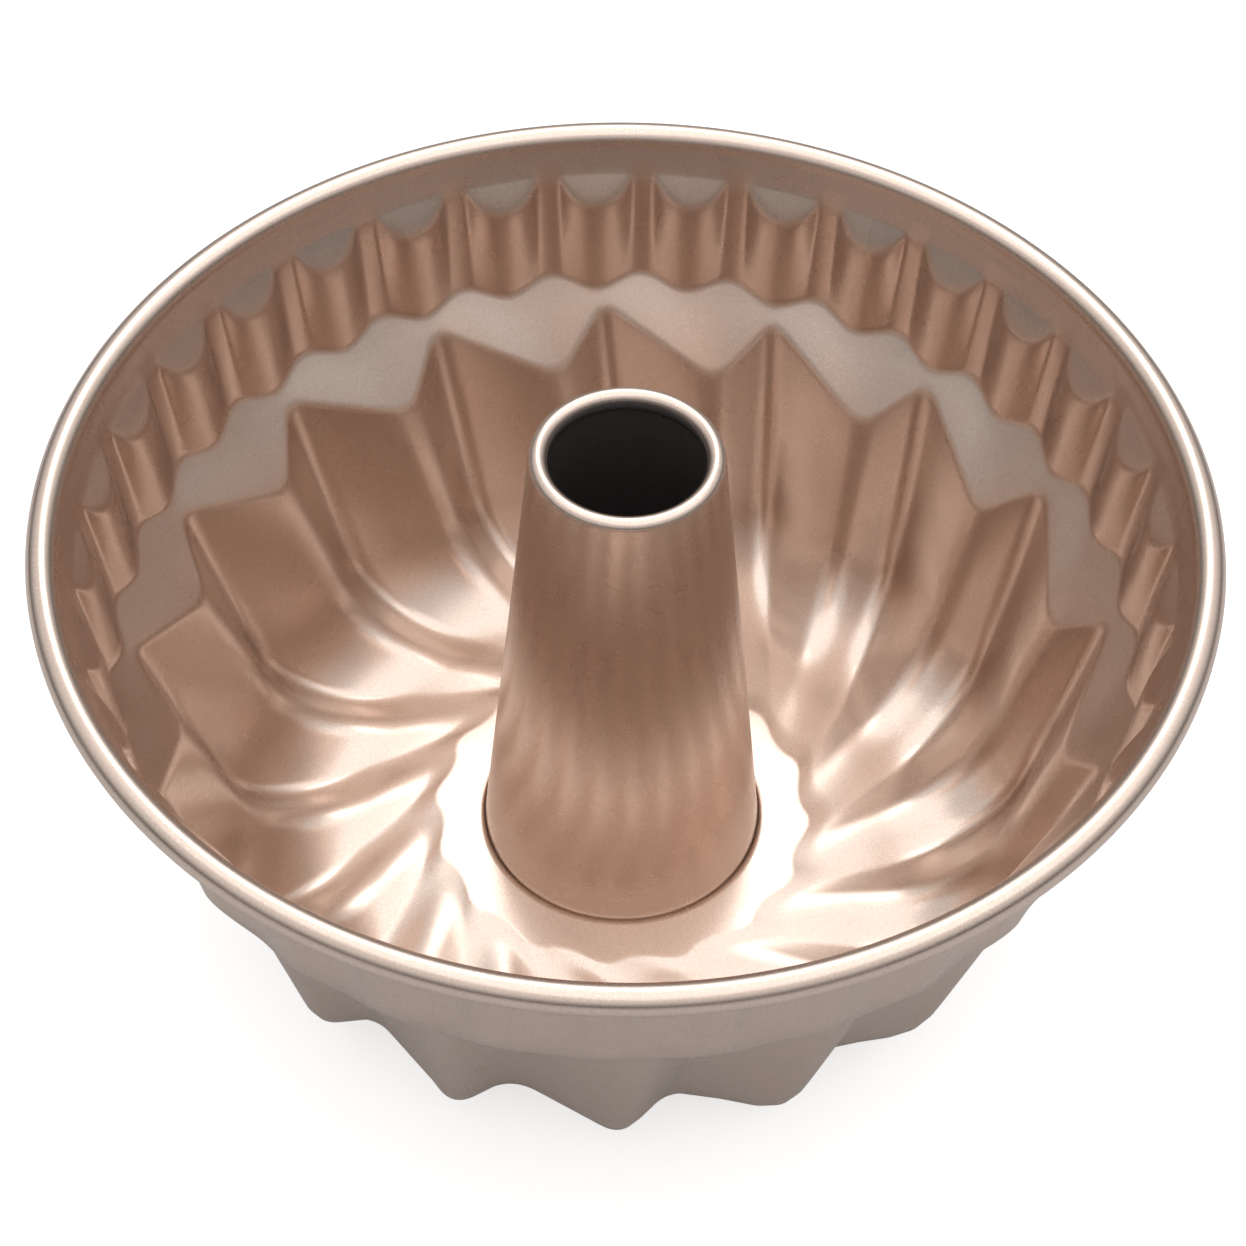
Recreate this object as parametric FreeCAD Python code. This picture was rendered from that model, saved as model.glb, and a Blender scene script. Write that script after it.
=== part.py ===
# Fluted tube cake pan, in millimetres. The pan axis is Z, the table is z = 0.
# A pressed steel shell with a curled rim round a wire, and a tapered centre tube
# that passes through the floor and is turned out under it.

import FreeCAD, Part
import math
import os

Vector = FreeCAD.Vector

# Sheet and rim
sheet = 0.8                  # thickness of the pressed steel
pan_radius = 122.5           # outside of the curled rim
rim_height = 105.3           # middle of the curl above the table
curl_radius = 3.1            # outside radius of the curl's section
wire_clearance = 0.1         # gap between the rim wire and the curl

# Collar, the plain cone under the rim
collar_width = 2.6           # how far it draws in
collar_drop = 6.9            # how far it comes down

# Small flutes, the upright band under the collar
small_flutes = 32
small_flute_phase = 4.3      # degrees, the first ridge
band_draft = 7.6             # degrees from upright
small_ridge_top = 2.6        # how far a ridge stands in at the collar
small_ridge_foot = 1.5       # and at the ledge
small_groove_top = 3.0       # degrees of plain wall between ridges at the collar
small_groove_foot = 2.8      # and at the ledge
shelf_slope = 62.0           # degrees, the sloping top of a small ridge

# Ledge, the sloping step between the two sets of flutes
ledge_drop = 35.0            # below the rim, at the ledge radius
ledge_radius = 109.2
ledge_slope = 54.5           # degrees below level, towards the axis

# Large flutes, straight in plan and past the axis at a set distance, so that they swirl
flutes = 16
groove_radius = 105.6        # outer end of a groove, on the ledge
groove_draft = 14.0          # degrees from upright
groove_bend = 26.0           # radius of the turn from wall to floor
groove_foot = 44.6           # inner end of a groove, on the ring
groove_fall = 11.5           # degrees that it drops outward from the ring
groove_offset = 33.2         # distance of its line from the axis
groove_heading = 21.8        # degrees, its direction in plan
ridge_radius = 95.9          # the same seven sizes for a ridge
ridge_draft = 18.7
ridge_bend = 26.0
ridge_foot = 41.0
ridge_fall = 2.0
ridge_offset = 29.6
ridge_heading = 27.9
crease = 2.6                 # cut back at each groove and ridge, where it is rounded
crease_share = 4             # a crease takes at most this part of a flute's side
stations = 12                # sections along a flute

# Floor ring and centre tube
ring_height = 4.3            # top of the flat ring above the table
tube_foot_radius = 31.6      # outside of the tube at the ring
lip_radius = 20.1            # outside of the rolled lip
lip_roll = 1.95              # outside radius of the roll's section
lip_height = 120.5           # middle of the roll above the table
lip_return = 3.0             # how far the roll's inner edge comes down
seam_width = 4.0             # flange of the tube under the floor
seam_clearance = 0.1         # gap between the tube and the edge of its hole

# Sizes that follow
headroom = 12.0              # how far the cutting solids pass the surfaces that they cut
overlap = 1.4                # how far the band and the large flutes rise into what is above them
collar_top = pan_radius - 2 * curl_radius
collar_foot = collar_top - collar_width
collar_foot_height = rim_height - collar_drop
ledge_height = rim_height - ledge_drop
flute_top = ledge_height + overlap
wire_circle = pan_radius - curl_radius
full_turn = 360
seam_top = ring_height - sheet


def sine(degrees):
    return math.sin(math.radians(degrees))


def cosine(degrees):
    return math.cos(math.radians(degrees))


def tangent(degrees):
    return math.tan(math.radians(degrees))


def at(radius, degrees, height):
    """A point by its distance from the axis, its bearing and its height."""
    return Vector(radius * cosine(degrees), radius * sine(degrees), height)


def turned(points):
    """The solid that a closed outline of (radius, height) points sweeps round the axis."""
    corners = [Vector(radius, 0, height) for radius, height in points]
    face = Part.Face(Part.makePolygon(corners + corners[:1]))
    return face.revolve(Vector(), Vector(0, 0, 1), full_turn)


def ledge_line(radius, grow=0.0):
    """Height of the ledge at a radius, moved out of the pan by grow."""
    return ledge_height + (radius - ledge_radius) * tangent(ledge_slope) - grow / cosine(ledge_slope)


def mouth(grow, top):
    """Space inside the collar and over the sloping tops of the small ridges."""
    slant = math.degrees(math.atan2(collar_width, collar_drop))
    side = grow / cosine(slant)
    inner = collar_foot + side - (headroom - collar_drop) / tangent(shelf_slope)
    return turned([
        (0, top),
        (collar_top + side + (top - rim_height) * tangent(slant), top),
        (collar_foot + side, collar_foot_height),
        (inner, rim_height - headroom),
        (0, rim_height - headroom),
    ])


def band_wire(height, grow):
    """Section of the band of small flutes at one height."""
    share = (collar_foot_height - height) / (collar_foot_height - ledge_height)
    wall = collar_foot - (collar_foot_height - height) * tangent(band_draft) + grow
    stand = small_ridge_top + (small_ridge_foot - small_ridge_top) * share
    plain = small_groove_top + (small_groove_foot - small_groove_top) * share
    pitch = full_turn / small_flutes
    edges = []
    for index in range(small_flutes):
        ridge = small_flute_phase + index * pitch
        start = ridge - (pitch - plain) / 2
        end = ridge + (pitch - plain) / 2
        following = start + pitch
        crest = Part.Arc(at(wall, start, height), at(wall - stand, ridge, height), at(wall, end, height))
        strip = Part.Arc(at(wall, end, height), at(wall, (end + following) / 2, height),
                         at(wall, following, height))
        edges += [crest.toShape(), strip.toShape()]
    return Part.Wire(edges)


def band(grow):
    """Space inside the small flutes, down to the ledge."""
    upper = band_wire(collar_foot_height + overlap, grow)
    lower = band_wire(ledge_height - headroom, grow)
    fluted = Part.makeLoft([lower, upper], True, True)
    over_ledge = turned([
        (0, ledge_line(0, grow)),
        (pan_radius, ledge_line(pan_radius, grow)),
        (pan_radius, rim_height),
        (0, rim_height),
    ])
    return fluted.common(over_ledge)


def flute_path(top_radius, draft, bend, foot, fall, grow):
    """Wall, bend and floor of one groove or ridge, as radius and height in the XZ plane."""
    wall = Vector(-sine(draft), 0, -cosine(draft))
    floor = Vector(-cosine(fall), 0, sine(fall))
    top = Vector(top_radius + grow / cosine(draft), 0, flute_top)
    end = Vector(foot, 0, ring_height - grow)
    cross = wall.x * floor.z - wall.z * floor.x
    run = ((end.x - top.x) * floor.z - (end.z - top.z) * floor.x) / cross
    corner = top + wall * run
    turn = wall.getAngle(floor)
    radius = bend + grow
    cut = radius * math.tan(turn / 2)
    first = corner - wall * cut
    last = corner + floor * cut
    inward = (floor - wall).normalize()
    middle = corner + inward * (radius / math.cos(turn / 2) - radius)
    wire = Part.Wire([
        Part.LineSegment(top, first).toShape(),
        Part.Arc(first, middle, last).toShape(),
        Part.LineSegment(last, end).toShape(),
    ])
    return wire.discretize(Number=stations)


def bearing(radius, offset, heading):
    """Bearing of the point at a radius on a straight line past the axis."""
    return heading - math.degrees(math.asin(offset / radius))


def flute_wire(groove, ridge):
    """Closed section through all large flutes, rounded at each groove and ridge."""
    pitch = full_turn / flutes
    corners = []
    for index in range(flutes):
        groove_at = bearing(groove.x, groove_offset, groove_heading)
        ridge_at = bearing(ridge.x, ridge_offset, ridge_heading)
        corners.append(at(groove.x, groove_at + index * pitch, groove.z))
        corners.append(at(ridge.x, ridge_at + index * pitch, ridge.z))
    edges = []
    count = len(corners)
    ends = []
    for index in range(count):
        corner = corners[index]
        back = corners[index - 1] - corner
        ahead = corners[(index + 1) % count] - corner
        cut = min(crease, back.Length / crease_share, ahead.Length / crease_share)
        half = back.getAngle(ahead) / 2
        radius = cut * math.tan(half)
        inward = (back.normalize() + ahead.normalize()).normalize()
        middle = corner + inward * (radius / math.sin(half) - radius)
        ends.append((corner + back * cut, middle, corner + ahead * cut))
    for index in range(count):
        start, middle, end = ends[index]
        following = ends[(index + 1) % count][0]
        edges.append(Part.Arc(start, middle, end).toShape())
        edges.append(Part.LineSegment(end, following).toShape())
    return Part.Wire(edges)


def large_flutes(grow):
    """Space inside the large flutes, from above the ledge down to the ring."""
    groove_top = groove_radius + (flute_top - ledge_line(groove_radius)) * tangent(groove_draft)
    ridge_top = ridge_radius + (flute_top - ledge_line(ridge_radius)) * tangent(ridge_draft)
    grooves = flute_path(groove_top, groove_draft, groove_bend, groove_foot, groove_fall, grow)
    ridges = flute_path(ridge_top, ridge_draft, ridge_bend, ridge_foot, ridge_fall, grow)
    wires = [flute_wire(groove, ridge) for groove, ridge in zip(grooves, ridges)]
    return Part.makeLoft(wires, True, False)


def cavity(grow, top):
    """Space inside the pan, grown by a thickness."""
    return mouth(grow, top).fuse([band(grow), large_flutes(grow)])


def pan_shell():
    """Pressed shell: fluted wall, floor ring with its hole, and the curled rim."""
    shell = cavity(sheet, rim_height).cut(cavity(0, rim_height + headroom))
    curl = Part.makeTorus(wire_circle, curl_radius, Vector(0, 0, rim_height))
    bore = Part.makeTorus(wire_circle, curl_radius - sheet, Vector(0, 0, rim_height))
    hole = Part.makeCylinder(tube_foot_radius + seam_clearance, rim_height, Vector(0, 0, -headroom))
    below = Part.makeCylinder(pan_radius, headroom, Vector(0, 0, -headroom))
    return shell.fuse(curl).cut([bore, hole, below])


def rim_wire():
    """Steel wire inside the curl."""
    return Part.makeTorus(wire_circle, curl_radius - sheet - wire_clearance, Vector(0, 0, rim_height))


def center_tube():
    """Tapered tube with a rolled lip, turned out under the floor."""
    roll_circle = lip_radius - lip_roll
    inner_roll = lip_roll - sheet
    foot = tube_foot_radius
    points = [
        Vector(foot + seam_width, 0, seam_top - sheet),
        Vector(foot + seam_width, 0, seam_top),
        Vector(foot, 0, seam_top),
        Vector(foot, 0, ring_height),
        Vector(roll_circle + lip_roll, 0, lip_height),
        Vector(roll_circle - lip_roll, 0, lip_height),
        Vector(roll_circle - lip_roll, 0, lip_height - lip_return),
        Vector(roll_circle - inner_roll, 0, lip_height - lip_return),
        Vector(roll_circle - inner_roll, 0, lip_height),
        Vector(roll_circle + inner_roll, 0, lip_height),
        Vector(foot - sheet, 0, ring_height),
        Vector(foot - sheet, 0, seam_top - sheet),
    ]
    rolls = {4: lip_roll, 8: inner_roll}
    edges = []
    for index, start in enumerate(points):
        end = points[(index + 1) % len(points)]
        if index in rolls:
            crown = Vector(roll_circle, 0, lip_height + rolls[index])
            edges.append(Part.Arc(start, crown, end).toShape())
        else:
            edges.append(Part.LineSegment(start, end).toShape())
    face = Part.Face(Part.Wire(edges))
    return face.revolve(Vector(), Vector(0, 0, 1), full_turn)


os.makedirs("parts", exist_ok=True)
pieces = {
    "pan_shell": pan_shell(),
    "center_tube": center_tube(),
    "rim_wire": rim_wire(),
}
for name, shape in pieces.items():
    print(name, "valid", shape.isValid(), "solids", len(shape.Solids), "volume", round(shape.Volume, 1),
          "box", [round(value, 2) for value in (shape.BoundBox.XLength, shape.BoundBox.YLength,
                                                shape.BoundBox.ZMin, shape.BoundBox.ZMax)])
    shape.exportStep(f"parts/{name}.step")
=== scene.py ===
# %% [markdown]
# # A fluted tube cake pan
#
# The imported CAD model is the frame: it fixes every size. This lesson builds the pressed shell and the
# centre tube again as smooth meshes with soft edges, gives them their coating, and sets the light and
# the camera.

import math

import bmesh
import bpy
from mathutils import Matrix, Vector


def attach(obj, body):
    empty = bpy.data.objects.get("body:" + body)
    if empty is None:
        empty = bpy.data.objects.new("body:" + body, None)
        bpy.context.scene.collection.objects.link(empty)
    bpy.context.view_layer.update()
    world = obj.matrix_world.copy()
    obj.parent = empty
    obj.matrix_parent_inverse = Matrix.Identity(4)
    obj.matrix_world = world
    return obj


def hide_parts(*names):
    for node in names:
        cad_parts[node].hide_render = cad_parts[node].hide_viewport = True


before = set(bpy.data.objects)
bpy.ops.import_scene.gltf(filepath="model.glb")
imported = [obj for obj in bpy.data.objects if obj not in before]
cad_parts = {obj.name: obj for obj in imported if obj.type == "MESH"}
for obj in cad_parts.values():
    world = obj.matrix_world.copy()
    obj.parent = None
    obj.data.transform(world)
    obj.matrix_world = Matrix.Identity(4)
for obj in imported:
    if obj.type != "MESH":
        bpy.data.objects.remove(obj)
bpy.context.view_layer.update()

# %% [markdown]
# ## Sizes
#
# All sizes are in millimetres, as on a drawing, and each mesh is scaled to metres once, when it is made.
# They repeat the sizes of the CAD part, because the two must agree. Heights start at the table, and
# bearings are in degrees round the axis of the pan.

# %% Sizes of the pan
MM = 0.001
sheet = 0.8
pan_radius = 122.5
rim_height = 105.3
curl_radius = 3.1
wire_circle = pan_radius - curl_radius
collar_top = pan_radius - 2 * curl_radius
collar_width = 2.6
collar_drop = 6.9
collar_foot = collar_top - collar_width
collar_foot_height = rim_height - collar_drop
ledge_radius = 109.2
ledge_drop = 35.0
ledge_height = rim_height - ledge_drop
ledge_slope = math.radians(54.5)
ring_height = 4.3
tube_foot_radius = 31.6
flutes = 16
pitch = 360 / flutes


def polar(radius, degrees, height):
    """A point by its distance from the axis, its bearing and its height."""
    angle = math.radians(degrees)
    return Vector((radius * math.cos(angle), radius * math.sin(angle), height))


def ledge_line(radius):
    """Height of the sloping ledge at a radius."""
    return ledge_height + (radius - ledge_radius) * math.tan(ledge_slope)


print("inner depth in mm", rim_height - ring_height)
print("degrees from one large flute to the next", pitch)

# %% [markdown]
# ## The large flutes
#
# On the real pan a press forms sixteen flutes that swirl towards the tube. Each groove and each ridge is
# straight in plan, but its line passes beside the axis, and that gives the swirl. Seen from the side, each
# comes down a steep wall, turns through a wide bend and runs along the floor to the ring.
#
# They could be sculpted, or cut with booleans. Here each is one formula, because the pattern follows a
# rule and a formula keeps the rows of faces even.

# %% The path of a groove and of a ridge
def flute_path(top_radius, draft, bend, foot, fall, steps):
    """Points of one groove or ridge as (radius, height), from the ledge down to the ring.

    draft is its lean from upright and fall the slope of its floor, both in degrees. bend is the radius
    of the turn between them, and foot the radius at which it ends on the ring.
    """
    draft, fall = math.radians(draft), math.radians(fall)
    wall = Vector((-math.sin(draft), -math.cos(draft)))
    floor = Vector((-math.cos(fall), math.sin(fall)))
    top = Vector((top_radius, ledge_line(top_radius)))
    end = Vector((foot, ring_height))
    cross = wall.x * floor.y - wall.y * floor.x
    run = ((end.x - top.x) * floor.y - (end.y - top.y) * floor.x) / cross
    corner = top + wall * run
    turn = wall.angle(floor)
    cut = bend * math.tan(turn / 2)
    inward = (floor - wall).normalized()
    middle = corner + inward * (bend / math.cos(turn / 2))
    first, last = corner - wall * cut, corner + floor * cut
    lengths = (first - top).length, bend * turn, (end - last).length
    points = []
    for step in range(steps + 1):
        along = sum(lengths) * step / steps
        if along < lengths[0]:
            points.append(top + wall * along)
        elif along < lengths[0] + lengths[1]:
            swing = (along - lengths[0]) / bend
            arm = first - middle
            side = 1 if cross > 0 else -1
            points.append(middle + Matrix.Rotation(side * swing, 2) @ arm)
        else:
            points.append(last + floor * (along - lengths[0] - lengths[1]))
    return points


flute_steps = 34
groove_radius = 105.6
groove_offset = 33.2
groove_heading = 21.8
ridge_radius = 95.9
ridge_offset = 29.6
ridge_heading = 27.9
groove_path = flute_path(groove_radius, draft=14.0, bend=26.0, foot=44.6, fall=11.5, steps=flute_steps)
ridge_path = flute_path(ridge_radius, draft=18.7, bend=26.0, foot=41.0, fall=2.0, steps=flute_steps)


def bearing(radius, offset, heading):
    """Bearing of the point at a radius on a straight line past the axis."""
    return heading - math.degrees(math.asin(offset / radius))


def groove_point(step, turns=0):
    """A point of the groove at one step, or of the groove some turns of a pitch further on."""
    radius, height = groove_path[step]
    return polar(radius, bearing(radius, groove_offset, groove_heading) + turns * pitch, height)


def ridge_point(step):
    """A point of the ridge at one step."""
    radius, height = ridge_path[step]
    return polar(radius, bearing(radius, ridge_offset, ridge_heading), height)


for step in (0, flute_steps):
    print("groove", [round(value, 1) for value in groove_point(step)],
          "ridge", [round(value, 1) for value in ridge_point(step)])

# %% [markdown]
# Between a groove and a ridge the sheet is nearly flat, and at each it turns over a soft crease. One row
# of points goes from a groove over the ridge to the next groove, with a small curve at each corner.

# %% One row of points across a flute
longest_cut = 0.45


def bend_at(before, corner, after, cut, count):
    """Points of a soft curve that takes the place of a corner, from one side to the other.

    The curve starts and ends at the cut from the corner, or nearer where a side is short.
    """
    back, ahead = before - corner, after - corner
    start = corner + back.normalized() * min(cut, back.length * longest_cut)
    end = corner + ahead.normalized() * min(cut, ahead.length * longest_cut)
    points = []
    for index in range(count + 1):
        share = index / count
        points.append(start * (1 - share) ** 2 + corner * 2 * share * (1 - share) + end * share ** 2)
    return points


crease_groove = 4.6
crease_ridge = 5.0
crease_faces = 8
short_faces = 7
long_faces = 17


def fill(start, end, count):
    """Points between two points, without the two themselves."""
    return [start.lerp(end, index / count) for index in range(1, count)]


def flute_row(step):
    """Points across one flute, groove to groove, at one step down its path."""
    ahead = [groove_point(step), ridge_point(step), groove_point(step, 1)]
    behind = Matrix.Rotation(-math.radians(pitch), 3, "Z") @ ridge_point(step)
    beyond = Matrix.Rotation(math.radians(pitch), 3, "Z") @ ridge_point(step)
    first = bend_at(behind, ahead[0], ahead[1], crease_groove, crease_faces)
    crest = bend_at(ahead[0], ahead[1], ahead[2], crease_ridge, crease_faces)
    last = bend_at(ahead[1], ahead[2], beyond, crease_groove, crease_faces)
    half = crease_faces // 2
    row = first[half:] + fill(first[-1], crest[0], short_faces) + crest
    return row + fill(crest[-1], last[0], long_faces) + last[:half + 1]


flute_rows = [flute_row(step) for step in range(flute_steps + 1)]
columns = len(flute_rows[0])
print("columns in a sector", columns)

# %% [markdown]
# ## The band of small flutes
#
# Under the collar the wall has thirty-two small upright ridges, two to each large flute. Each has a
# sloping, D-shaped top. Between them the plain wall shows as a narrow strip.
#
# At the collar a ridge has a flat middle and steep sides, and at the ledge it fades into a plain wave. A
# soft maximum joins it to the wall, and another joins its top to the sloping shelf, so no edge is sharp.

# %% Radius of the band at a bearing and a height
small_pitch = 360 / 32
small_phase = 4.3
band_draft = math.tan(math.radians(7.6))
shelf_slope = math.tan(math.radians(62.0))
plain_top, plain_foot = 2.6, 2.8
stand_top, stand_foot = 2.9, 1.8
ridge_squareness = 2.6
side_softness = 0.12
shelf_softness = 0.6


def soft_max(a, b, softness):
    """The larger of two values, with a rounded turn from one to the other."""
    return (a + b + math.sqrt((a - b) ** 2 + softness ** 2)) / 2


def from_ridge(degrees):
    """Degrees from the middle of the nearest small ridge."""
    return (degrees - small_phase + small_pitch / 2) % small_pitch - small_pitch / 2


def band_radius(degrees, height):
    """Distance from the axis of the inside of the band."""
    share = (collar_foot_height - height) / (collar_foot_height - ledge_height)
    half = (small_pitch - plain_top - (plain_foot - plain_top) * share) / 2
    stand = stand_top + (stand_foot - stand_top) * share
    off = from_ridge(degrees)
    wave = (1 + math.cos(math.tau * off / small_pitch)) / 2
    ridge = soft_max(1 - abs(off / half) ** ridge_squareness, 0, side_softness)
    wall = collar_foot - (collar_foot_height - height) * band_draft
    crest = wall - stand * (ridge + (wave - ridge) * share ** 2)
    shelf = collar_foot - (collar_foot_height - height) / shelf_slope
    return soft_max(crest, shelf, shelf_softness)


halfway = (collar_foot_height + ledge_height) / 2
between_ridges = small_phase + small_pitch / 2
stand_in = band_radius(between_ridges, halfway) - band_radius(small_phase, halfway)
print("halfway down, a ridge stands in by", round(stand_in, 2), "mm")

# %% [markdown]
# The band needs its columns where its own corners are, and the large flutes need theirs at the creases.
# Both lists have the same length, so a column may lean a little as it crosses the ledge between them.

# %% Bearings of the columns on the band
ridge_side = 3.9
crowding = 2.5
crowded_width = 0.7
samples = 900


def band_bearings():
    """Bearings of the columns of one sector, close together at the sides of the small ridges."""
    start = bearing(groove_radius, groove_offset, groove_heading)
    weights = []
    for index in range(samples):
        off = abs(from_ridge(start + pitch * (index + 0.5) / samples))
        weights.append(1 + crowding * math.exp(-((off - ridge_side) / crowded_width) ** 2))
    total = sum(weights)
    bearings, passed, index = [start], 0, 0
    for column in range(1, columns):
        goal = total * column / (columns - 1)
        while index < samples and passed + weights[index] < goal:
            passed += weights[index]
            index += 1
        bearings.append(start + pitch * min(index + 1, samples) / samples)
    bearings[-1] = start + pitch
    return bearings


bearings = band_bearings()
foot_tries = 12


def band_foot(degrees):
    """Radius at which the band meets the ledge, found by trying again from the last result."""
    radius = ledge_radius
    for _ in range(foot_tries):
        radius = band_radius(degrees, ledge_line(radius))
    return radius


on_ridge, beside_ridge = band_foot(small_phase), band_foot(between_ridges)
print("foot of the band at a ridge", round(on_ridge, 2), "and beside it", round(beside_ridge, 2))

# %% [markdown]
# ## One sector of the pressed sheet
#
# Each column runs from the rim down the inside to the hole in the floor, back up the outside, and round
# the curl. It is made as a list of points, and the lists side by side make the rows of faces. Just outside
# the ring the floor dips by about half a millimetre, which draws the scalloped edge of the ring.

# %% Points down one column, inside face
close_rows, first_rise, row_step = 13, 0.5, 0.65
wide_drops = (9.5, 12.5, 16.0, 19.5, 22.5)
band_heights = [collar_foot_height + first_rise - row_step * index for index in range(close_rows)]
band_heights += [collar_foot_height - drop for drop in wide_drops]
collar_bend = 0.9
shelf_back = (0.4, 1.06)
ledge_foot_bend = 1.5
ledge_edge_bend = 1.9
ring_bend = 1.0
floor_dips = (0.1, 0.25, 0.4, 0.5, 0.55)
hole_gap = 0.8
ring_flat = 1.6


def wall_points(column):
    """Points of one column from the foot of the curl over the collar, the band and the ledge."""
    degrees = bearings[column]
    curl_side = polar(collar_top, degrees, rim_height)
    collar_end = polar(collar_foot + shelf_back[0], degrees, collar_foot_height + shelf_back[1])
    above = polar(collar_top, degrees, rim_height + curl_radius)
    points = bend_at(above, curl_side, collar_end, collar_bend, count=3)[1:]
    points += fill(points[-1], collar_end, count=3)
    for height in band_heights:
        points.append(polar(band_radius(degrees, height), degrees, height))
    foot_radius = band_foot(degrees)
    foot = polar(foot_radius, degrees, ledge_line(foot_radius))
    edge = flute_rows[0][column]
    below = flute_rows[2][column]
    points += bend_at(points[-1], foot, edge, ledge_foot_bend, count=4)
    turn = bend_at(foot, edge, below, ledge_edge_bend, count=6)
    return points + fill(points[-1], turn[0], count=3) + turn


def floor_points(column):
    """Points of one column down the large flutes and over the ring to the edge of its hole."""
    rows = [row[column].copy() for row in flute_rows]
    for row, dip in zip(rows[-6:-1], floor_dips):
        row.z -= dip
    ring_end = rows[-1]
    ring_bearing = math.degrees(math.atan2(ring_end.y, ring_end.x))
    hole_edge = polar(tube_foot_radius + hole_gap, ring_bearing, ring_height)
    beside_hole = polar(tube_foot_radius + ring_flat, ring_bearing, ring_height)
    points = rows[2:-1] + bend_at(rows[-2], ring_end, hole_edge, ring_bend, count=4)[1:]
    return points + fill(points[-1], beside_hole, count=3) + [beside_hole, hole_edge]


def inside_column(column):
    """Points of one column from the foot of the curl to the edge of the floor hole."""
    return wall_points(column) + floor_points(column)


inside = [inside_column(column) for column in range(columns)]
last_row = len(inside[0]) - 1
print("rows down the inside", last_row + 1)

# %% [markdown]
# The outside follows the inside at the thickness of the sheet. Every point moves along the surface's own
# direction, which comes from its four neighbours. Where the grooves touch the table they are pressed flat.
# Little of the outside shows, so it keeps only every second row. A Solidify modifier could give the
# thickness, but it would neither press the grooves flat nor leave out rows.

# %% Points of the outside face
def around(column, row):
    """A point of the inside, also past the two sides of the sector."""
    turns, column = divmod(column, columns - 1)
    return Matrix.Rotation(math.radians(pitch) * turns, 3, "Z") @ inside[column][row]


def outward(column, row):
    """Direction out of the pan at a point of the inside."""
    across = around(column + 1, row) - around(column - 1, row)
    along = around(column, min(row + 1, last_row)) - around(column, max(row - 1, 0))
    return along.cross(across).normalized()


def outside_column(column):
    """Points of one column from the edge of the floor hole up the outside."""
    points = []
    for row in range(last_row, -1, -1):
        if row in kept_rows:
            point = inside[column][row] + outward(column, row) * sheet
            point.z = max(point.z, 0.0)
            points.append(point)
    return points


kept_rows = {row for row in range(last_row + 1) if row % 2 == 0 or row == last_row}
outside = [outside_column(column) for column in range(columns)]
lowest = min(point.z for points in outside for point in points)
print("rows up the outside", len(outside[0]), "lowest point", lowest)

# %% [markdown]
# The rim is the same sheet rolled outward into a full curl round a wire, and its cut edge ends just short
# of the wall. The curl is the same at every bearing, so its points are two arcs.

# %% Points of the curl
curl_steps = 22
hidden_steps = 12
curl_end = -147.0
hidden_start = 176.0
shown_end = 162.0


def arc(radius, degrees, start, end, steps):
    """Points of an arc round the middle of the curl, between two angles in degrees."""
    points = []
    for step in range(steps + 1):
        angle = math.radians(start + (end - start) * step / steps)
        points.append(polar(wire_circle + radius * math.cos(angle), degrees,
                            rim_height + radius * math.sin(angle)))
    return points


def curl_column(column):
    """Points of the curl from the collar's outside round to its inside face."""
    degrees = bearings[column]
    hidden = arc(curl_radius - sheet, degrees, hidden_start, curl_end, hidden_steps)
    shown = arc(curl_radius, degrees, curl_end, shown_end, curl_steps)
    return hidden + shown


print("points of the curl", len(curl_column(0)))

# %% [markdown]
# Round the tube the edge of the floor turns down a little. One point in each column does it, between the
# inside face and the outside face.

# %% Edge of the floor hole
hole_turn = (0.4, 0.3)


def hole_column(column):
    """The edge of the floor hole, turned down a little."""
    top = inside[column][-1]
    degrees = math.degrees(math.atan2(top.y, top.x))
    return [polar(tube_foot_radius + hole_turn[0], degrees, ring_height - hole_turn[1])]


print("radius of the floor hole", tube_foot_radius + hole_turn[0])

# %% [markdown]
# ## From one sector to the whole shell
#
# The sector is a mesh of its own. Geometry Nodes copy it sixteen times round the axis, join the copies
# where they meet and give them the coating. Their inputs are the number of flutes, the distance at which
# points are joined, and the finish.

# %% Mesh of one sector
def sector_mesh():
    """One sector of the closed wall, as a mesh in metres."""
    loops = []
    for column in range(columns):
        loops.append(inside[column] + hole_column(column) + outside[column] + curl_column(column))
    count = len(loops[0])
    vertices = [tuple(point * MM) for loop in loops for point in loop]
    faces = []
    for column in range(columns - 1):
        for row in range(count):
            below = (row + 1) % count
            faces.append((column * count + row, column * count + below,
                          (column + 1) * count + below, (column + 1) * count + row))
    mesh = bpy.data.meshes.new("sector")
    mesh.from_pydata(vertices, [], faces)
    mesh.update()
    return mesh


sector = sector_mesh()
print("sector faces", len(sector.polygons), "whole shell", len(sector.polygons) * flutes)

# %% [markdown]
# ## The coating
#
# The pan has a champagne-coloured metallic non-stick coating. It is a satin paint full of fine metal
# flakes, so its colour and its relief have a grain, and its gloss varies softly from place to place. Here
# the base is nearly all metallic. Noise at the size of the flakes drives the colour and the bump, and a
# wider noise drives the roughness.
#
# A picture of the grain could be laid over the pan, but it would need a flat layout of the surface. Noise
# needs none. The helpers for it come first, and the other finishes use them too.

# %% Helpers for materials
noise_roughness = 0.6
noise_range = (0.3, 0.7)


def noise(tree, place, scale, detail):
    """Noise on Object coordinates."""
    node = tree.nodes.new("ShaderNodeTexNoise")
    node.inputs["Scale"].default_value = scale
    node.inputs["Detail"].default_value = detail
    node.inputs["Roughness"].default_value = noise_roughness
    tree.links.new(place.outputs["Object"], node.inputs["Vector"])
    return node


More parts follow.
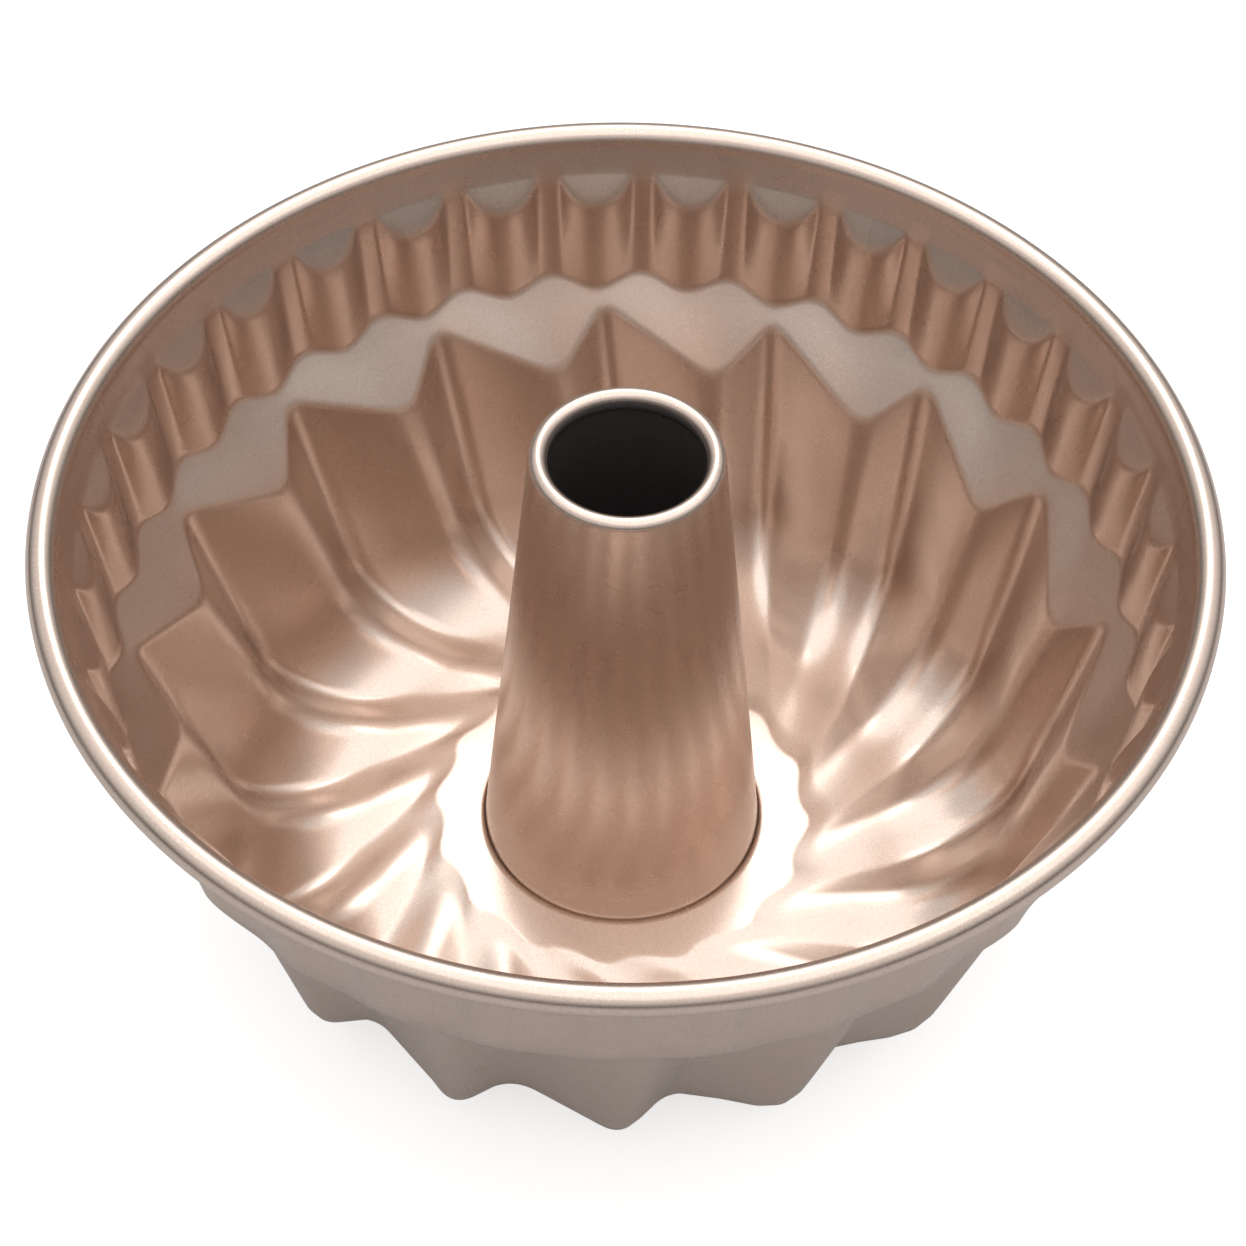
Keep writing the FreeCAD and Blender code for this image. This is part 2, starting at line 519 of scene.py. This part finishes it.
def spread(tree, source, low, high, new_low, new_high):
    """Maps a range of a value to another range."""
    node = tree.nodes.new("ShaderNodeMapRange")
    node.inputs["From Min"].default_value = low
    node.inputs["From Max"].default_value = high
    node.inputs["To Min"].default_value = new_low
    node.inputs["To Max"].default_value = new_high
    tree.links.new(source, node.inputs["Value"])
    return node


def ramp(tree, source, stops):
    """Colour ramp with the given (position, colour) stops."""
    node = tree.nodes.new("ShaderNodeValToRGB")
    while len(node.color_ramp.elements) < len(stops):
        node.color_ramp.elements.new(0.5)
    for element, (position, colour) in zip(node.color_ramp.elements, stops):
        element.position = position
        element.color = (*colour, 1)
    tree.links.new(source, node.inputs["Fac"])
    return node


def new_material(name):
    """A material with its node tree and its shader."""
    material = bpy.data.materials.new(name)
    material.use_nodes = True
    return material, material.node_tree, material.node_tree.nodes["Principled BSDF"]


print("noise is used between", noise_range)

# %% Material of the coated steel
champagne = [
    (0.30, (0.59, 0.468, 0.396)),
    (0.52, (0.635, 0.512, 0.44)),
    (0.74, (0.68, 0.562, 0.49)),
]
metal_share = 0.95
flake_scale = 2000
cloud_scale = 60
satin = (0.25, 0.31)
flake_relief = 0.00002
relief_share = 0.2


def coated_steel():
    """The champagne coating, with its grain, its satin gloss and its fine relief."""
    material, tree, shader = new_material("coated_steel")
    shader.inputs["Metallic"].default_value = metal_share
    place = tree.nodes.new("ShaderNodeTexCoord")
    flakes = noise(tree, place, flake_scale, detail=2)
    clouds = noise(tree, place, cloud_scale, detail=3)
    colour = ramp(tree, flakes.outputs["Fac"], champagne)
    tree.links.new(colour.outputs["Color"], shader.inputs["Base Color"])
    gloss = spread(tree, clouds.outputs["Fac"], *noise_range, *satin)
    tree.links.new(gloss.outputs["Result"], shader.inputs["Roughness"])
    bump = tree.nodes.new("ShaderNodeBump")
    bump.inputs["Strength"].default_value = relief_share
    bump.inputs["Distance"].default_value = flake_relief
    tree.links.new(flakes.outputs["Fac"], bump.inputs["Height"])
    tree.links.new(bump.outputs["Normal"], shader.inputs["Normal"])
    return material


coating = coated_steel()
print(coating.name, "nodes", len(coating.node_tree.nodes))

# %% [markdown]
# Geometry Nodes repeat what a rule repeats. The tree below makes one point for each flute, puts the sector
# on every point with its own turn round the axis, makes the copies real, joins them and gives the finish.

# %% The nodes that turn the sector round the axis
def sector_nodes():
    """The node tree and the identifiers of its inputs."""
    tree = bpy.data.node_groups.new("sector_round", "GeometryNodeTree")
    face = tree.interface
    face.new_socket("Geometry", in_out="INPUT", socket_type="NodeSocketGeometry")
    count = face.new_socket("Flutes", in_out="INPUT", socket_type="NodeSocketInt")
    weld = face.new_socket("Join distance", in_out="INPUT", socket_type="NodeSocketFloat")
    coat = face.new_socket("Finish", in_out="INPUT", socket_type="NodeSocketMaterial")
    face.new_socket("Geometry", in_out="OUTPUT", socket_type="NodeSocketGeometry")
    source = tree.nodes.new("NodeGroupInput")
    result = tree.nodes.new("NodeGroupOutput")
    points = tree.nodes.new("GeometryNodePoints")
    index = tree.nodes.new("GeometryNodeInputIndex")
    step = tree.nodes.new("ShaderNodeMath")
    step.operation = "DIVIDE"
    step.inputs[0].default_value = math.tau
    angle = tree.nodes.new("ShaderNodeMath")
    angle.operation = "MULTIPLY"
    turn = tree.nodes.new("ShaderNodeCombineXYZ")
    copies = tree.nodes.new("GeometryNodeInstanceOnPoints")
    real = tree.nodes.new("GeometryNodeRealizeInstances")
    joined = tree.nodes.new("GeometryNodeMergeByDistance")
    smooth = tree.nodes.new("GeometryNodeSetShadeSmooth")
    finish = tree.nodes.new("GeometryNodeSetMaterial")
    tree.links.new(source.outputs["Flutes"], points.inputs["Count"])
    tree.links.new(source.outputs["Flutes"], step.inputs[1])
    tree.links.new(index.outputs["Index"], angle.inputs[0])
    tree.links.new(step.outputs["Value"], angle.inputs[1])
    tree.links.new(angle.outputs["Value"], turn.inputs["Z"])
    tree.links.new(points.outputs[0], copies.inputs["Points"])
    tree.links.new(source.outputs["Geometry"], copies.inputs["Instance"])
    tree.links.new(turn.outputs["Vector"], copies.inputs["Rotation"])
    tree.links.new(copies.outputs["Instances"], real.inputs["Geometry"])
    tree.links.new(real.outputs["Geometry"], joined.inputs["Geometry"])
    tree.links.new(source.outputs["Join distance"], joined.inputs["Distance"])
    tree.links.new(joined.outputs["Geometry"], smooth.inputs["Geometry"])
    tree.links.new(smooth.outputs["Geometry"], finish.inputs["Geometry"])
    tree.links.new(source.outputs["Finish"], finish.inputs["Material"])
    tree.links.new(finish.outputs["Geometry"], result.inputs["Geometry"])
    named = {"Flutes": count, "Join distance": weld, "Finish": coat}
    return tree, {name: socket.identifier for name, socket in named.items()}


tree, sockets = sector_nodes()
print("inputs", sockets)

# %% The whole shell
join_distance = 0.00001


def made_real(name, mesh, tree, values):
    """A plain mesh object with what the node tree makes of a mesh."""
    start = bpy.data.objects.new(name + "_start", mesh)
    bpy.context.collection.objects.link(start)
    modifier = start.modifiers.new("nodes", "NODES")
    modifier.node_group = tree
    for identifier, value in values.items():
        modifier[identifier] = value
    graph = bpy.context.evaluated_depsgraph_get()
    made = bpy.data.meshes.new_from_object(start.evaluated_get(graph))
    bpy.data.objects.remove(start)
    piece = bpy.data.objects.new(name, made)
    made.name = name
    bpy.context.collection.objects.link(piece)
    return piece


shell = made_real("shell", sector, tree, {
    sockets["Flutes"]: flutes,
    sockets["Join distance"]: join_distance,
    sockets["Finish"]: coating,
})
print("shell points", len(shell.data.vertices))

# %% [markdown]
# A closed wall has no open edges, and its volume is positive when its faces point outwards. Both are
# measured before the shell takes the place of its CAD solid.

# %% Check the shell and place it
def check_closed(piece):
    """Prints the size of a mesh and its open edges, and gives its volume."""
    work = bmesh.new()
    work.from_mesh(piece.data)
    open_edges = sum(1 for edge in work.edges if len(edge.link_faces) != 2)
    volume = work.calc_volume(signed=True)
    triangles = sum(len(face.verts) - 2 for face in work.faces)
    work.free()
    print(piece.name, "triangles", triangles, "open edges", open_edges,
          "volume cm3", round(volume * 1e6, 1))
    return volume


def face_outwards(piece):
    """Turns the faces round where the volume comes out negative."""
    if check_closed(piece) < 0:
        piece.data.flip_normals()
        check_closed(piece)


face_outwards(shell)
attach(shell, "root")
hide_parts("pan_shell")

# %% [markdown]
# ## The centre tube
#
# The tube is a separate tapered chimney. It stands in the hole of the floor ring, is turned out under it,
# and its top is rolled inward into a smooth lip. A profile turned round the axis makes it, as a lathe does.
# Each point of the profile has a third value, which says whether it lies in the bore.

# %% Profile of the tube
lip_radius = 20.1
lip_roll = 1.95
lip_height = 120.5
lip_return = 1.6
roll_circle = lip_radius - lip_roll
inner_roll = lip_roll - sheet
seam_width = 4.0
seam_top = ring_height - sheet
seam_foot = seam_top - sheet
corner_run, corner_gap, corner_rise = 0.7, 0.1, 0.3
inner_run, inner_drop = 0.3, 0.4
return_lean, return_gap = 0.1, 0.05
tube_sides = 160
cone_rows = 30
bore_rows = 20
roll_steps, roll_end = 13, 200
inner_steps, inner_start = 8, 190
bore_start = 160


def roll_point(radius, degrees):
    """Radius and height of a point of the rolled lip."""
    angle = math.radians(degrees)
    return roll_circle + radius * math.cos(angle), lip_height + radius * math.sin(angle)


def cone_point(share, inset=0.0):
    """Radius and height of a point of the cone, from the ring up to the lip."""
    radius = tube_foot_radius - inset + (lip_radius - tube_foot_radius) * share
    return radius, ring_height + (lip_height - ring_height) * share


def tube_profile():
    """Closed outline of the tube as (radius, height, share of bore)."""
    outline = [
        (tube_foot_radius + seam_width, seam_foot, 0),
        (tube_foot_radius + seam_width, seam_top, 0),
        (tube_foot_radius + corner_run, seam_top, 0),
        (tube_foot_radius + corner_gap, seam_top + corner_rise, 0),
    ]
    for row in range(cone_rows + 1):
        outline.append((*cone_point(row / cone_rows), 0))
    for step in range(1, roll_steps + 1):
        degrees = roll_end * step / roll_steps
        outline.append((*roll_point(lip_roll, degrees), 0 if degrees < bore_start else 1))
    edge = outline[-1]
    outline.append((edge[0] + return_lean, edge[1] - lip_return, 1))
    outline.append((edge[0] + sheet + return_gap, edge[1] - lip_return, 1))
    for step in range(inner_steps + 1):
        outline.append((*roll_point(inner_roll, inner_start - roll_end * step / inner_steps), 1))
    for row in range(1, bore_rows):
        outline.append((*cone_point(1 - row / bore_rows, sheet), 1))
    outline.append((tube_foot_radius - sheet, seam_top - inner_drop, 1))
    outline.append((tube_foot_radius - inner_run, seam_foot, 0.5))
    return outline


print("points of the outline", len(tube_profile()))

# %% [markdown]
# Blender's Screw modifier could turn the outline. A short function does it here, because it also writes
# the share of the bore to each point and closes the ring on its own first points.

# %% Turn the outline round the axis
def turned(name, outline, sides):
    """Closed outline turned round the axis, in metres, with its third value kept as an attribute."""
    vertices, bore, faces = [], [], []
    for side in range(sides):
        for radius, height, share in outline:
            vertices.append(polar(radius, 360 * side / sides, height) * MM)
            bore.append(share)
    count = len(outline)
    for side in range(sides):
        beside = (side + 1) % sides
        for row in range(count):
            above = (row + 1) % count
            faces.append((side * count + row, beside * count + row,
                          beside * count + above, side * count + above))
    mesh = bpy.data.meshes.new(name)
    mesh.from_pydata(vertices, [], faces)
    mesh.update()
    attribute = mesh.attributes.new("bore", "FLOAT", "POINT")
    attribute.data.foreach_set("value", bore)
    mesh.shade_smooth()
    piece = bpy.data.objects.new(name, mesh)
    bpy.context.collection.objects.link(piece)
    return piece


tube = turned("tube", tube_profile(), tube_sides)
face_outwards(tube)

# %% [markdown]
# The tube has the same coating as the shell, so its material is a copy. Its bore gets little light and looks
# dark and dull, so there the copy has painted shade: a dark colour and no metal. The attribute says where
# that is.

# %% Material of the tube
# Painted shade: the dark colour of the bore, which gets little light.
bore_shade_colour = (0.12, 0.105, 0.10, 1)


def tube_coating():
    """The coating with painted shade in the bore: dark and not metallic."""
    material = coating.copy()
    material.name = "coated_steel_tube"
    tree = material.node_tree
    shader = tree.nodes["Principled BSDF"]
    bore = tree.nodes.new("ShaderNodeAttribute")
    bore.attribute_name = "bore"
    dark = tree.nodes.new("ShaderNodeMix")
    dark.data_type = "RGBA"
    old = shader.inputs["Base Color"].links[0].from_socket
    tree.links.new(bore.outputs["Fac"], dark.inputs["Factor"])
    tree.links.new(old, dark.inputs["A"])
    # The bore gets the painted shade colour.
    dark.inputs["B"].default_value = bore_shade_colour
    metal = spread(tree, bore.outputs["Fac"], 0, 1, metal_share, 0)
    tree.links.new(metal.outputs["Result"], shader.inputs["Metallic"])
    tree.links.new(dark.outputs["Result"], shader.inputs["Base Color"])
    return material


tube.data.materials.append(tube_coating())
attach(tube, "root")
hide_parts("center_tube")
print("tube height", round(max(vertex.co.z for vertex in tube.data.vertices), 4))

# %% [markdown]
# ## The wire in the rim
#
# The wire lies inside the curl, where it can't be seen. It is plain drawn steel with a fine grain. A curve
# with a round bevel could make it again, but the CAD ring is already the right shape, so it is kept.

# %% Material of the wire
drawn_grey = [(0.3, (0.42, 0.42, 0.43)), (0.7, (0.60, 0.60, 0.61))]
drawn_gloss = (0.25, 0.45)
drawn_scale = 900


def wire_steel():
    """Bare drawn wire."""
    material, tree, shader = new_material("wire_steel")
    shader.inputs["Metallic"].default_value = 1.0
    place = tree.nodes.new("ShaderNodeTexCoord")
    drawn = noise(tree, place, drawn_scale, detail=2)
    colour = ramp(tree, drawn.outputs["Fac"], drawn_grey)
    tree.links.new(colour.outputs["Color"], shader.inputs["Base Color"])
    gloss = spread(tree, drawn.outputs["Fac"], *noise_range, *drawn_gloss)
    tree.links.new(gloss.outputs["Result"], shader.inputs["Roughness"])
    return material


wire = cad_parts["rim_wire"]
wire.data.materials.clear()
wire.data.materials.append(wire_steel())
print("wire", wire.name, "triangles", len(wire.data.polygons))

# %% [markdown]
# ## Floor and light
#
# The pan stands on a plain white surface. A brighter colour would make it whiter, but would also throw more
# light up at the pan. Instead the floor glows a little for the camera alone, and it still takes a faint
# shadow.

# %% Floor
floor_half = 4.0
paper = (0.76, 0.76, 0.76, 1)
paper_glow = 0.64


def floor_plane():
    """A wide flat floor with its middle under the pan."""
    mesh = bpy.data.meshes.new("floor")
    corners = [(-floor_half, -floor_half, 0), (floor_half, -floor_half, 0),
               (floor_half, floor_half, 0), (-floor_half, floor_half, 0)]
    mesh.from_pydata(corners, [], [(0, 1, 2, 3)])
    piece = bpy.data.objects.new("floor", mesh)
    bpy.context.collection.objects.link(piece)
    material, tree, shader = new_material("white_paper")
    shader.inputs["Base Color"].default_value = paper
    shader.inputs["Roughness"].default_value = 0.9
    shader.inputs["Specular IOR Level"].default_value = 0.1
    shader.inputs["Emission Color"].default_value = (1, 1, 1, 1)
    path = tree.nodes.new("ShaderNodeLightPath")
    glow = tree.nodes.new("ShaderNodeMath")
    glow.operation = "MULTIPLY"
    glow.inputs[1].default_value = paper_glow
    tree.links.new(path.outputs["Is Camera Ray"], glow.inputs[0])
    tree.links.new(glow.outputs["Value"], shader.inputs["Emission Strength"])
    mesh.materials.append(material)
    return piece


floor = floor_plane()
print("floor", round(2 * floor_half, 1), "m wide")

# %% [markdown]
# Metal shows what is round it, as in a light tent: white overhead, and dimmer towards the horizon. A picture
# of a studio could be put there, but three plain answers are enough. The camera sees white, reflections see
# the tent, and everything else gets an even light.

# %% World
even_light = 0.6
tent_horizon = 0.07
tent_top = 0.70


def studio_world():
    """White for the camera, a light tent for reflections, and an even light for the rest."""
    world = bpy.data.worlds.new("studio")
    world.use_nodes = True
    tree = world.node_tree
    back = tree.nodes["Background"]
    back.inputs["Color"].default_value = (1, 1, 1, 1)
    path = tree.nodes.new("ShaderNodeLightPath")
    mirrored = tree.nodes.new("ShaderNodeMath")
    mirrored.operation = "MAXIMUM"
    tree.links.new(path.outputs["Is Glossy Ray"], mirrored.inputs[0])
    tree.links.new(path.outputs["Is Transmission Ray"], mirrored.inputs[1])
    place = tree.nodes.new("ShaderNodeTexCoord")
    parts = tree.nodes.new("ShaderNodeSeparateXYZ")
    tree.links.new(place.outputs["Generated"], parts.inputs["Vector"])
    tent = spread(tree, parts.outputs["Z"], 0.0, tent_top, tent_horizon, 1.0)
    tent.interpolation_type = "SMOOTHSTEP"
    direct = spread(tree, path.outputs["Is Camera Ray"], 0, 1, even_light, 1.0)
    strength = tree.nodes.new("ShaderNodeMix")
    tree.links.new(mirrored.outputs["Value"], strength.inputs["Factor"])
    tree.links.new(direct.outputs["Result"], strength.inputs["A"])
    tree.links.new(tent.outputs["Result"], strength.inputs["B"])
    tree.links.new(strength.outputs["Result"], back.inputs["Strength"])
    bpy.context.scene.world = world
    return world


world = studio_world()
print("world nodes", len(world.node_tree.nodes))

# %% [markdown]
# Two square lamps add to the world. The wide one overhead gives soft light from above. The one behind is
# smaller and brighter for its size, so its reflections stand out on the coating.

# %% Lamps
pan_middle = (0, 0, 0.04)


def lamp(name, place, aim, size, power):
    """A square soft lamp that faces a point. Its size is in metres and its power in watts."""
    light = bpy.data.lights.new(name, "AREA")
    light.shape = "SQUARE"
    light.size = size
    light.energy = power
    body = bpy.data.objects.new(name, light)
    body.location = place
    body.rotation_euler = (Vector(aim) - Vector(place)).to_track_quat("-Z", "Y").to_euler()
    bpy.context.collection.objects.link(body)
    return body


lamps = [
    lamp("back_lamp", (0.0, 0.9, 1.1), pan_middle, size=0.6, power=2.4),
    lamp("top_lamp", (0.1, 0.1, 1.3), pan_middle, size=1.7, power=8.0),
]
print("lamps", [body.name for body in lamps])

# %% [markdown]
# ## Camera
#
# The camera stands where the photographer's did: in front of the pan, looking down at about 49 degrees
# through a long lens, turned a little about its own axis. A constraint could aim it at the pan. Here its
# three directions are worked out one by one, because that small turn is part of the view.

# %% Camera
sensor = 36.0
lens = 83.33
pan_radii_away = 4.85
away = pan_radii_away * pan_radius * MM
raised = math.radians(47.03)
pitch_down = math.radians(49.25)
yaw = math.radians(-0.05)
roll = math.radians(0.89)


def studio_camera():
    """The camera, placed by its distance and height angle from the middle of the rim."""
    data = bpy.data.cameras.new("camera")
    data.sensor_width = sensor
    data.lens = lens
    camera = bpy.data.objects.new("camera", data)
    bpy.context.collection.objects.link(camera)
    ahead = Vector((math.sin(yaw) * math.cos(pitch_down), math.cos(yaw) * math.cos(pitch_down),
                    -math.sin(pitch_down)))
    right = Vector((math.cos(yaw), -math.sin(yaw), 0))
    up = right.cross(ahead)
    right, up = (right * math.cos(roll) + up * math.sin(roll),
                 up * math.cos(roll) - right * math.sin(roll))
    turn = Matrix((right, up, -ahead)).transposed()
    place = (0, -away * math.cos(raised), away * math.sin(raised) + rim_height * MM)
    camera.matrix_world = Matrix.Translation(place) @ turn.to_4x4()
    bpy.context.scene.camera = camera
    return camera


camera = studio_camera()
bpy.context.scene.view_settings.view_transform = "Standard"
print("camera at", [round(value, 3) for value in camera.matrix_world.translation])
